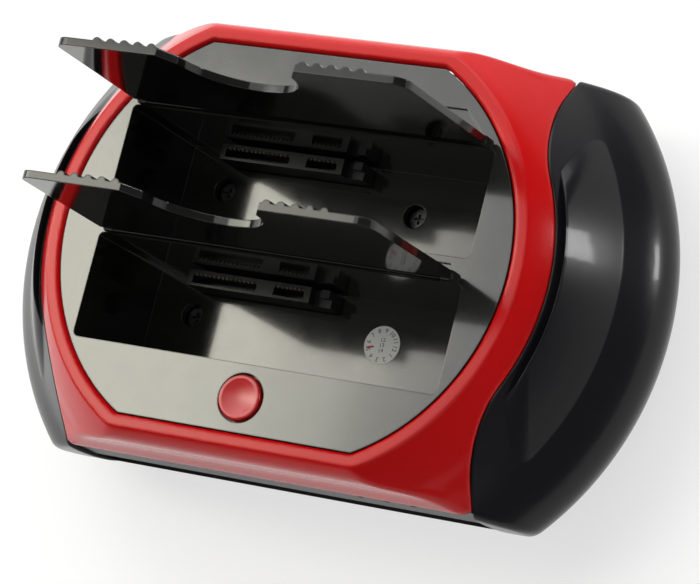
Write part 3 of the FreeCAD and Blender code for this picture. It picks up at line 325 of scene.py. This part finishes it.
floor_material, floor_nodes, floor_links, floor_shader = new_material("floor_white")
floor_vector = place(floor_nodes, floor_links, (1, 1, 1))
floor_links.new(ramp(floor_nodes, floor_links, noise(floor_nodes, floor_links, floor_vector, 3.0),
                     (0.95, 0.95, 0.95), (0.97, 0.97, 0.97)), floor_shader.inputs["Base Color"])
floor_shader.inputs["Roughness"].default_value = 0.7
floor_shader.inputs["Specular IOR Level"].default_value = 0.2
glow = floor_nodes.new("ShaderNodeEmission")
seen = floor_nodes.new("ShaderNodeLightPath")
blend = floor_nodes.new("ShaderNodeMixShader")
either = floor_nodes.new("ShaderNodeMath")
either.operation = "MAXIMUM"
floor_links.new(seen.outputs["Is Camera Ray"], either.inputs[0])
floor_links.new(seen.outputs["Is Glossy Ray"], either.inputs[1])
through = floor_nodes.new("ShaderNodeMath")
through.operation = "MAXIMUM"
floor_links.new(either.outputs["Value"], through.inputs[0])
floor_links.new(seen.outputs["Is Transmission Ray"], through.inputs[1])
floor_links.new(spread(floor_nodes, floor_links, through.outputs["Value"], 0.0, FLOOR_GLOW),
                blend.inputs["Fac"])
floor_links.new(floor_shader.outputs["BSDF"], blend.inputs[1])
floor_links.new(glow.outputs["Emission"], blend.inputs[2])
floor_links.new(blend.outputs["Shader"], floor_nodes["Material Output"].inputs["Surface"])
floor = disc("floor", FLOOR_RADIUS, 0.0)
floor.data.materials.append(floor_material)

# The deck mirrors to the camera what lies along MIRROR_LINE, so most panels are laid out square
# to it. Lengths are in metres.
DECK_TOP = Vector((0.0, 0.0, 0.054))
MIRROR_LINE = Vector((-0.4746, 0.1775, 0.862)).normalized()
ACROSS = Vector((0.8702, 0.2418, 0.4292))
REACH = 3.0
KEY_TWIST = -18
WARM = (1.0, 0.98, 0.80)


def light_panel(name, across, along, radiance, line=MIRROR_LINE, side=ACROSS,
                reach=REACH, twist=0.0, tint=(1.0, 1.0, 1.0)):
    """A soft panel of light; across and along are tangents measured from its line."""
    side = (side - line * side.dot(line)).normalized()
    side = Matrix.Rotation(math.radians(twist), 3, line) @ side
    rise = line.cross(side)
    size = (reach * (across[1] - across[0]), reach * (along[1] - along[0]))
    data = bpy.data.lights.new(name, "AREA")
    data.shape = "RECTANGLE"
    data.size, data.size_y = size
    data.energy = radiance * math.pi * size[0] * size[1]
    data.color = tint
    lamp = bpy.data.objects.new(name, data)
    middle = line + side * (across[0] + across[1]) / 2 + rise * (along[0] + along[1]) / 2
    turned = Matrix((side, rise, line)).transposed()
    lamp.matrix_world = Matrix.Translation(DECK_TOP + middle * reach) @ turned.to_4x4()
    lamp.visible_camera = False
    bpy.context.scene.collection.objects.link(lamp)


# The key is three panels that overlap, each at a reach of its own: panels in one plane hide
# each other in reflections.
light_panel("key_inner", (-1.10, -0.020), (-0.17, 0.040), 1.9,
            reach=2.90, twist=KEY_TWIST, tint=WARM)
light_panel("key_middle", (-1.10, 0.018), (-0.17, 0.045), 3.0,
            reach=2.93, twist=KEY_TWIST, tint=WARM)
light_panel("key_outer", (-1.10, 0.044), (-0.18, 0.055), 1.1,
            reach=2.96, twist=KEY_TWIST, tint=WARM)
light_panel("overhead", (-0.90, 0.50), (-0.20, 0.80), 1.8)
light_panel("rear", (-0.7, 0.7), (-0.35, 0.35), 3.0,
            line=Vector((-0.20, 0.80, 0.55)).normalized(), side=Vector((0.97, 0.24, 0.0)),
            reach=2.80)
light_panel("glint", (-0.08, 0.08), (-0.07, 0.06), 34.0,
            line=Vector((0.90, 0.44, 0.03)).normalized(), side=Vector((-0.44, 0.90, 0.0)),
            reach=2.0)
light_panel("front_fill", (-0.35, 0.35), (-0.35, 0.35), 0.9,
            line=Vector((0.25, -0.45, 0.86)).normalized(), side=Vector((0.87, 0.48, 0.0)),
            reach=2.70)

SKY_LOW = (0.86, 0.86, 0.86)
SKY_HIGH = (0.16, 0.16, 0.16)
SKY_BAND = (0.02, 0.09)  # the ramp's stops on the upward coordinate

world = bpy.data.worlds.new("studio")
bpy.context.scene.world = world
world.use_nodes = True
sky_nodes = world.node_tree.nodes
sky_links = world.node_tree.links
sky_coords = sky_nodes.new("ShaderNodeTexCoord")
sky_parts = sky_nodes.new("ShaderNodeSeparateXYZ")
sky_links.new(sky_coords.outputs["Generated"], sky_parts.inputs["Vector"])
sky_links.new(ramp(sky_nodes, sky_links, sky_parts.outputs["Z"], SKY_LOW, SKY_HIGH, *SKY_BAND),
              sky_nodes["Background"].inputs["Color"])
sky_nodes["Background"].inputs["Strength"].default_value = 1.0

# The camera's place, turn and lens come from the fit to the deck and the bays in the photo.
SENSOR_MM = 36.0
LENS_MM = 190.2
CLIP_END = 50.0
CAMERA_AT = (0.45049, -0.16992, 0.83162)

camera_data = bpy.data.cameras.new("camera")
camera_data.sensor_width = SENSOR_MM
camera_data.lens = LENS_MM
camera_data.clip_end = CLIP_END
camera = bpy.data.objects.new("camera", camera_data)
RIGHT = Vector((0.87023, 0.24179, -0.42923))
UP = Vector((-0.13229, 0.95396, 0.26917))
BACKWARD = RIGHT.cross(UP)
turn = Matrix((RIGHT, UP, BACKWARD)).transposed()
camera.matrix_world = Matrix.Translation(CAMERA_AT) @ turn.to_4x4()
bpy.context.scene.collection.objects.link(camera)
bpy.context.scene.camera = camera
bpy.context.scene.view_settings.view_transform = "Standard"
